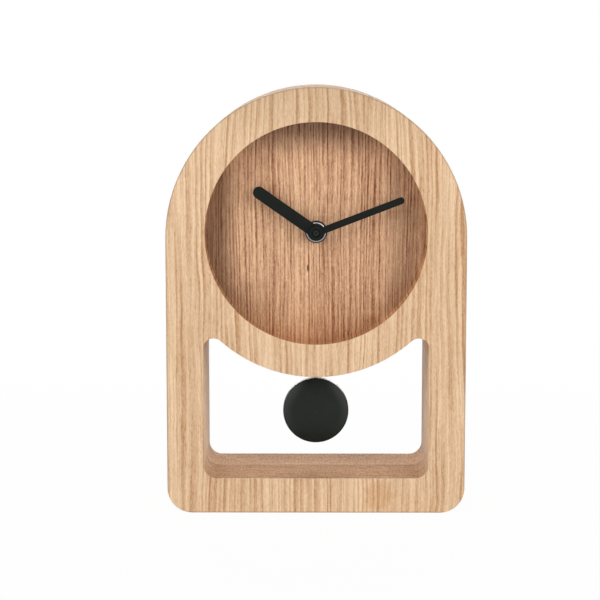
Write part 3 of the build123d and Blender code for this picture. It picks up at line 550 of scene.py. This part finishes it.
# Painted highlight along a line on the nut's rounded edge
NUT_HIGHLIGHT_RADIUS = 5.35
NUT_HIGHLIGHT_LINE = 0.32
NUT_HIGHLIGHT_CORE = NUT_HIGHLIGHT_LINE / 2
NUT_TURNING = 6.0
NUT_FACE = (tint(50, 50, 53), tint(70, 70, 73))
NUT_HIGHLIGHT_COLOURS = (tint(150, 150, 154), tint(184, 184, 188))
NUT_DULL = 0.4
NUT_BRIGHT = 0.12
SLEEVE_BAND = 9.0
SLEEVE_BARE = 2.0
SLEEVE_END = BATTERY_END - SLEEVE_BARE
SLEEVE_FADE = 0.2
SLEEVE_SPOTS = 1.5
SLEEVE_BODY = (tint(104, 110, 116), tint(94, 100, 106))
SLEEVE_PALE = (tint(178, 181, 183), tint(166, 169, 171))
SLEEVE_STEEL = tint(190, 190, 192)
SLEEVE_SMOOTHER = 0.26
SLEEVE_ROUGHER = 0.36


def bob_painted_sheen(tree, parts, colour):
    """Painted sheen: the bob's colour turns grey towards its edge, most at both sides, and less so below."""
    above = maths(tree, "SUBTRACT", parts[2], BOB_Z)
    edge_sheen = span(tree, far_from_axis(tree, parts[0], above), BOB_SHEEN_INNER, BOB_EDGE)
    upper = span(tree, above, -BOB_EDGE, BOB_SHEEN_INNER, BOB_SHEEN_BELOW, 1.0)
    side_sheen = span(tree, maths(tree, "ABSOLUTE", parts[0]), BOB_NO_SHEEN_MIDDLE, BOB_SHEEN_SIDE)
    share = maths(tree, "MULTIPLY", edge_sheen, maths(tree, "MULTIPLY", upper, side_sheen))
    return mixed(tree, share, colour, BOB_SHEEN_GREY)


def arbor_shade(tree, parts, colour):
    """Painted shade inside the pipe: the seconds arbor is black where its tip stands in front of the dial."""
    return mixed(tree, span(tree, parts[1], DIAL_BACK, DIAL_FRONT), colour, ARBOR_SHADE_BLACK)


def turned_nut(name):
    """Dark plated metal, with a painted highlight along a line on its rounded edge."""
    material, tree, shader = new_material(name)
    parts = place_parts(tree)
    reach = far_from_axis(tree, parts[0], maths(tree, "SUBTRACT", parts[2], DIAL_Z))
    lines = noise(tree, joined(tree, reach, 0.0), NUT_TURNING)
    off = maths(tree, "ABSOLUTE", maths(tree, "SUBTRACT", reach, NUT_HIGHLIGHT_RADIUS))
    highlight = span(tree, off, NUT_HIGHLIGHT_LINE, NUT_HIGHLIGHT_CORE)
    colour = mixed(tree, highlight, mixed(tree, lines, *NUT_FACE), mixed(tree, lines, *NUT_HIGHLIGHT_COLOURS))
    tree.links.new(colour, shader["Base Color"])
    tree.links.new(span(tree, highlight, 0.0, 1.0, NUT_DULL, NUT_BRIGHT), shader["Roughness"])
    shader["Metallic"].default_value = 1.0
    return material


def sleeve(name):
    """The battery's plain grey sleeve, paler at its positive end, with bare steel at both tips."""
    material, tree, shader = new_material(name)
    parts = place_parts(tree)
    fine = use_group(tree, MOTTLE, Place=joined(tree, *parts), Scale=SLEEVE_SPOTS)["Fine"]
    band = span(tree, parts[0], SLEEVE_BAND, SLEEVE_BAND + SLEEVE_FADE)
    colour = mixed(tree, band, mixed(tree, fine, *SLEEVE_BODY), mixed(tree, fine, *SLEEVE_PALE))
    tip = span(tree, maths(tree, "ABSOLUTE", parts[0]), SLEEVE_END, SLEEVE_END + SLEEVE_FADE)
    tree.links.new(mixed(tree, tip, colour, SLEEVE_STEEL), shader["Base Color"])
    tree.links.new(tip, shader["Metallic"])
    gloss = span(tree, fine, FINE_LOW, FINE_HIGH, SLEEVE_SMOOTHER, SLEEVE_ROUGHER)
    tree.links.new(gloss, shader["Roughness"])
    return material


# Woods: each has a light, a dark and a pore colour
FACE_COLOURS = (tint(242, 211, 175), tint(183, 135, 91), tint(164, 116, 76))
DIAL_COLOURS = (tint(243, 200, 159), tint(130, 66, 30), tint(132, 72, 36))
EDGE_COLOURS = (tint(222, 190, 156), tint(176, 136, 100), tint(152, 112, 80))
WALL_COLOURS = (tint(236, 211, 183), tint(190, 157, 126), tint(164, 128, 98))
REAR_WALL_COLOURS = (tint(229, 211, 195), tint(192, 168, 148), tint(168, 144, 124))
RIM_COLOURS = (tint(224, 174, 132), tint(138, 86, 52), tint(124, 78, 46))
UPRIGHT = {"Ring": 3.5, "Waver": 1.0, "Ragged": 0.7, "Run": 34.0, "Break": 0.4, "Width": 0.85}
FINE = {"Ring": 2.8, "Waver": 0.8, "Ragged": 0.9, "Run": 20.0, "Break": 0.8, "Width": 1.3}
BROKEN = {"Ring": 2.8, "Waver": 1.6, "Ragged": 1.8, "Run": 7.0, "Break": 1.5, "Width": 1.0}
DIAL_GRAIN = {"Ring": 2.3, "Waver": 0.55, "Ragged": 0.6, "Run": 22.0, "Break": 0.8, "Width": 0.8,
              "Even": 0.45, "Seed": 21.0}
MATT = {"roughness": 0.7, "level": 0.06}


def woods():
    """The veneers and the fibreboard under them, by the node that wears each."""
    face = veneer("face_veneer", x_of, z_of, FACE_COLOURS, {**UPRIGHT, "Seed": 17.5}, face_tones)
    back = veneer("rear_veneer", x_of, z_of, FACE_COLOURS, {**UPRIGHT, "Seed": 11.0}, sanded_and_shaded_edge)
    edge = veneer("edge_veneer", y_of, round_arch, EDGE_COLOURS, {**FINE, "Seed": 5.0}, **MATT)
    base = veneer("base_veneer", y_of, x_of, EDGE_COLOURS, {**FINE, "Seed": 6.0}, **MATT)
    wall = veneer("window_veneer", y_of, x_and_z, WALL_COLOURS, {**BROKEN, "Seed": 7.0},
                  wall_tones(SILL_SHADE_TINT), **MATT)
    rear_wall = veneer("rear_window_veneer", y_of, x_and_z, REAR_WALL_COLOURS, {**BROKEN, "Seed": 8.0},
                       wall_tones(REAR_SILL_SHADE_TINT), **MATT)
    rim = veneer("rim_veneer", x_of, z_of, RIM_COLOURS, DIAL_GRAIN, rim_tones, **MATT)
    dial = veneer("dial_veneer", x_of, z_of, DIAL_COLOURS, DIAL_GRAIN, dial_wood_and_shade)
    board = plain("raw_fibreboard", tint(155, 127, 96), tint(147, 119, 89), mottle=0.6, roughness=0.9,
                  bump=0.0001, level=0.2)
    return {
        "front_veneer": face, "rear_veneer": back, "outer_edge_veneer": edge, "base_veneer": base,
        "window_front_veneer": wall, "window_rear_veneer": rear_wall, "dial_rim_veneer": rim,
        "dial_veneer": dial, "front_board": board, "rear_board": board, "dial_board": board,
    }


def plastics():
    """Mouldings, rubber, circuit and bonded magnets, by the node that wears each."""
    shell = plain("black_shell", tint(30, 30, 31), tint(24, 24, 25), mottle=0.35, roughness=0.55, level=0.3)
    white = plain("white_plastic", tint(226, 224, 216), tint(216, 213, 204), mottle=0.5, roughness=0.45)
    rubber = plain("rubber", tint(28, 28, 28), tint(20, 20, 20), mottle=0.5, roughness=0.8, level=0.2)
    magnet = plain("bonded_magnet", tint(72, 72, 74), tint(60, 60, 62), mottle=0.3, roughness=0.6)
    circuit = plain("circuit", tint(40, 110, 66), tint(32, 92, 54), mottle=0.8, roughness=0.3, bump=0.00001)
    chip = plain("chip", tint(26, 26, 26), tint(20, 20, 20), mottle=0.3, roughness=0.5)
    return {
        "movement_front_shell": shell, "movement_rear_shell": shell, "setting_knob": shell,
        "minute_pipe": shell, "train_plate": white, "motor_bobbin": white, "drive_bobbin": white,
        "minute_wheel": white, "setting_stem": white, "third_wheel": white, "intermediate_wheel": white,
        "pendulum_lever": white, "rubber_gasket": rubber, "rotor_magnet": magnet, "lever_magnet": magnet,
        "circuit_board": circuit, "circuit_chip": chip,
    }


BARE_METAL = {"bump": 0.000005, "metal": 1.0}
BRASS_COLOURS = (tint(214, 178, 100), tint(196, 158, 84))


def metals():
    """Bare, plated and painted metal, by the node that wears each."""
    steel = plain("steel", tint(196, 196, 198), tint(176, 176, 178), mottle=0.4, roughness=0.3, **BARE_METAL)
    zinc = plain("zinc_plated", tint(138, 138, 141), tint(116, 116, 119), mottle=0.4, roughness=0.32,
                 **BARE_METAL)
    brass = plain("brass", *BRASS_COLOURS, mottle=0.4, roughness=0.3, **BARE_METAL)
    arbor = plain("brass_with_painted_shade", *BRASS_COLOURS, mottle=0.4, roughness=0.3, shade=arbor_shade,
                  **BARE_METAL)
    copper = plain("copper_wire", tint(196, 120, 72), tint(170, 96, 56), mottle=0.3, roughness=0.35,
                   bump=0.00004, metal=1.0)
    nut = turned_nut("bright_nut")
    hand = plain("black_hand", tint(20, 24, 21), tint(15, 19, 16), mottle=0.4, roughness=0.5,
                 bump=0.000008, level=0.12)
    bob = plain("black_bob", tint(33, 39, 36), tint(29, 35, 32), mottle=0.4, roughness=0.36,
                bump=0.00001, level=0.15, shade=bob_painted_sheen)
    return {
        "lever_pin": steel, "quartz_crystal": steel, "motor_stator": steel, "motor_core": steel,
        "positive_contact": steel, "negative_contact": steel, "pendulum_rod": steel, "rotor_arbor": steel,
        "movement_screws": zinc, "centre_bush": brass, "hour_wheel": brass, "centre_wheel": brass,
        "seconds_wheel": arbor, "motor_winding": copper, "drive_winding": copper, "bush_nut": nut,
        "bush_washer": nut, "minute_hand": hand, "hour_hand": hand, "pendulum_bob": bob,
        "battery": sleeve("battery_can"),
    }


def dress():
    for name, finish in {**woods(), **plastics(), **metals()}.items():
        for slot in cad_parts[name].material_slots:
            slot.material = finish


# Moulded marks on the back of the movement
MARK_RISE = 0.0006
MARK_SINK = 0.0001
MARK_BEVEL = 0.0002
SIGN_X = 0.022
SIGN_BELOW = 0.0016
SIGN_Z = shell_high.z - SIGN_BELOW
SIGN_REACH = 0.0011
SIGN_HALF = 0.0003
ARROW_INNER = 0.0066
ARROW_OUTER = 0.0074
ARROW_START = math.radians(205)
ARROW_END = math.radians(320)
ARROW_STEPS = 24
ARROW_HEAD = math.radians(18)
ARROW_WING = 0.0008


def raised(name, outlines, finish):
    """Low moulded marks; each outline is a list of points across and up the back."""
    shape = bmesh.new()
    foot = shell_high.y - MARK_SINK
    top = shell_high.y + MARK_RISE
    for outline in outlines:
        low = [shape.verts.new((x, foot, z)) for x, z in outline]
        high = [shape.verts.new((x, top, z)) for x, z in outline]
        shape.faces.new(low)
        shape.faces.new(high)
        for first in range(len(outline)):
            second = (first + 1) % len(outline)
            shape.faces.new((low[first], low[second], high[second], high[first]))
    bmesh.ops.recalc_face_normals(shape, faces=shape.faces[:])
    rim = [edge for edge in shape.edges if min(vert.co.y for vert in edge.verts) > shell_high.y]
    bmesh.ops.bevel(shape, geom=rim, offset=MARK_BEVEL, segments=2, profile=0.5, affect="EDGES")
    mesh = bpy.data.meshes.new(name)
    shape.to_mesh(mesh)
    shape.free()
    mesh.materials.append(finish)
    piece = bpy.data.objects.new(name, mesh)
    bpy.context.scene.collection.objects.link(piece)
    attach(piece, "case")


def bar(x, z, across, up):
    """The outline of a level bar."""
    return [(x - across, z - up), (x + across, z - up), (x + across, z + up), (x - across, z + up)]


def cross(x, z, reach, half):
    """The outline of an upright cross."""
    corner = [(half, reach), (half, half), (reach, half)]
    points = []
    for quarter in range(4):
        for across, up in corner:
            for _ in range(quarter):
                across, up = up, -across
            points.append((x + across, z + up))
    return points


def turn_arrow():
    """The outlines of a curved arrow's shaft and head below the setting knob."""
    middle_x = (knob_low.x + knob_high.x) / 2
    middle_z = (knob_low.z + knob_high.z) / 2

    def point(radius, angle):
        return middle_x + radius * math.cos(angle), middle_z + radius * math.sin(angle)

    sweep = (ARROW_END - ARROW_START) / ARROW_STEPS
    angles = [ARROW_START + sweep * step for step in range(ARROW_STEPS + 1)]
    outer = [point(ARROW_OUTER, angle) for angle in angles]
    inner = [point(ARROW_INNER, angle) for angle in reversed(angles)]
    middle = (ARROW_INNER + ARROW_OUTER) / 2
    head = [point(ARROW_INNER - ARROW_WING, ARROW_END), point(ARROW_OUTER + ARROW_WING, ARROW_END),
            point(middle, ARROW_END + ARROW_HEAD)]
    return [outer + inner, head]


def marks():
    # The marks are polished and a lighter grey than the shell, a painted highlight
    finish = plain("shell_with_painted_highlight", tint(58, 58, 60), tint(50, 50, 52), mottle=0.35, roughness=0.25,
                   bump=0.000004)
    raised("plus_mark", [cross(SIGN_X, SIGN_Z, SIGN_REACH, SIGN_HALF)], finish)
    raised("minus_mark", [bar(-SIGN_X, SIGN_Z, SIGN_REACH, SIGN_HALF)], finish)
    raised("turn_mark", turn_arrow(), finish)


# Stage
WHITE = (1.0, 1.0, 1.0, 1.0)
FLOOR_RADIUS = 6.0
FLOOR_SIDES = 96
FLOOR_COLOUR = (0.9, 0.9, 0.9, 1.0)
FLOOR_WHITE = 0.965
SHADOW_NEAR = 0.25
SHADOW_FAR = 0.7
WORLD_LIGHT = 0.06


def seen_directly(tree):
    """1 for what the camera, a mirror or glass sees, 0 for light on its way to a surface."""
    path = put(tree, "ShaderNodeLightPath").outputs
    total = maths(tree, "ADD", path["Is Camera Ray"], path["Is Glossy Ray"])
    return maths(tree, "MINIMUM", maths(tree, "ADD", total, path["Is Transmission Ray"]), 1.0)


def floor_finish():
    """White to the eye, a little greyer round the clock, and matt for the light that falls on it."""
    material = bpy.data.materials.new("floor")
    material.use_nodes = True
    tree = material.node_tree
    tree.nodes.clear()
    place = put(tree, "ShaderNodeTexCoord").outputs["Object"]
    distance = put(tree, "ShaderNodeVectorMath", {0: place}, operation="LENGTH").outputs["Value"]
    white = span(tree, distance, SHADOW_NEAR, SHADOW_FAR, FLOOR_WHITE, 1.0)
    share = maths(tree, "MULTIPLY", white, seen_directly(tree))
    matt = put(tree, "ShaderNodeBsdfDiffuse", {"Color": FLOOR_COLOUR}).outputs[0]
    glow = put(tree, "ShaderNodeEmission", {"Color": WHITE}).outputs[0]
    blend = put(tree, "ShaderNodeMixShader", {0: share, 1: matt, 2: glow}).outputs[0]
    put(tree, "ShaderNodeOutputMaterial", {"Surface": blend})
    return material


def floor():
    mesh = bpy.data.meshes.new("floor")
    shape = bmesh.new()
    bmesh.ops.create_circle(shape, cap_ends=True, segments=FLOOR_SIDES, radius=FLOOR_RADIUS)
    shape.to_mesh(mesh)
    shape.free()
    mesh.materials.append(floor_finish())
    disc = bpy.data.objects.new("floor", mesh)
    bpy.context.scene.collection.objects.link(disc)


def surroundings():
    """White to the eye, and a faint light from all sides."""
    world = bpy.data.worlds.new("studio")
    bpy.context.scene.world = world
    world.use_nodes = True
    tree = world.node_tree
    tree.nodes.clear()
    strength = span(tree, seen_directly(tree), 0.0, 1.0, WORLD_LIGHT, 1.0)
    glow = put(tree, "ShaderNodeBackground", {"Color": WHITE, "Strength": strength}).outputs[0]
    put(tree, "ShaderNodeOutputWorld", {"Surface": glow})


# Lights
LAMP_DISTANCE = 1.5
LAMP_SIZE = 1.0


def softbox(name, azimuth, elevation, power, distance=LAMP_DISTANCE, size=LAMP_SIZE):
    """A square soft lamp aimed at the middle of the clock; azimuth 0 is in front and 90 to the right."""
    lamp = bpy.data.lights.new(name, "AREA")
    lamp.size = size
    lamp.energy = power
    turn = math.radians(azimuth)
    rise = math.radians(elevation)
    away = Vector((math.sin(turn) * math.cos(rise), -math.cos(turn) * math.cos(rise), math.sin(rise)))
    box = bpy.data.objects.new(name, lamp)
    box.location = Vector((0.0, 0.0, case_high.z / 2)) + distance * away
    box.rotation_mode = "QUATERNION"
    box.rotation_quaternion = away.to_track_quat("Z", "Y")
    bpy.context.scene.collection.objects.link(box)


def lights():
    softbox("key", azimuth=-35.0, elevation=36.0, power=6.6)
    softbox("left", azimuth=-56.0, elevation=12.0, power=8.0)
    softbox("right_key", azimuth=35.0, elevation=36.0, power=3.3)
    softbox("right", azimuth=56.0, elevation=12.0, power=11.4)
    softbox("back", azimuth=180.0, elevation=22.0, power=20.0, distance=1.4, size=1.2)


# Camera: the photograph is a square picture of this many pixels, taken with no shift
PICTURE = 600
SENSOR = 36.0
FOCAL_PIXELS = 1944.7
CAMERA_PLACE = (-0.00441, -1.12403, 0.26767)
CAMERA_DOWN = math.radians(7.563)
CAMERA_TURN = math.radians(0.248)
CLIP_NEAR = 0.05
CLIP_FAR = 50.0


def camera():
    lens = bpy.data.cameras.new("camera")
    lens.sensor_width = SENSOR
    lens.lens = FOCAL_PIXELS * SENSOR / PICTURE
    lens.clip_start = CLIP_NEAR
    lens.clip_end = CLIP_FAR
    viewer = bpy.data.objects.new("camera", lens)
    viewer.location = CAMERA_PLACE
    viewer.rotation_euler = (math.pi / 2 - CAMERA_DOWN, 0.0, CAMERA_TURN)
    bpy.context.scene.collection.objects.link(viewer)
    bpy.context.scene.camera = viewer


dress()
marks()
floor()
surroundings()
lights()
camera()
bpy.context.scene.view_settings.view_transform = "Standard"
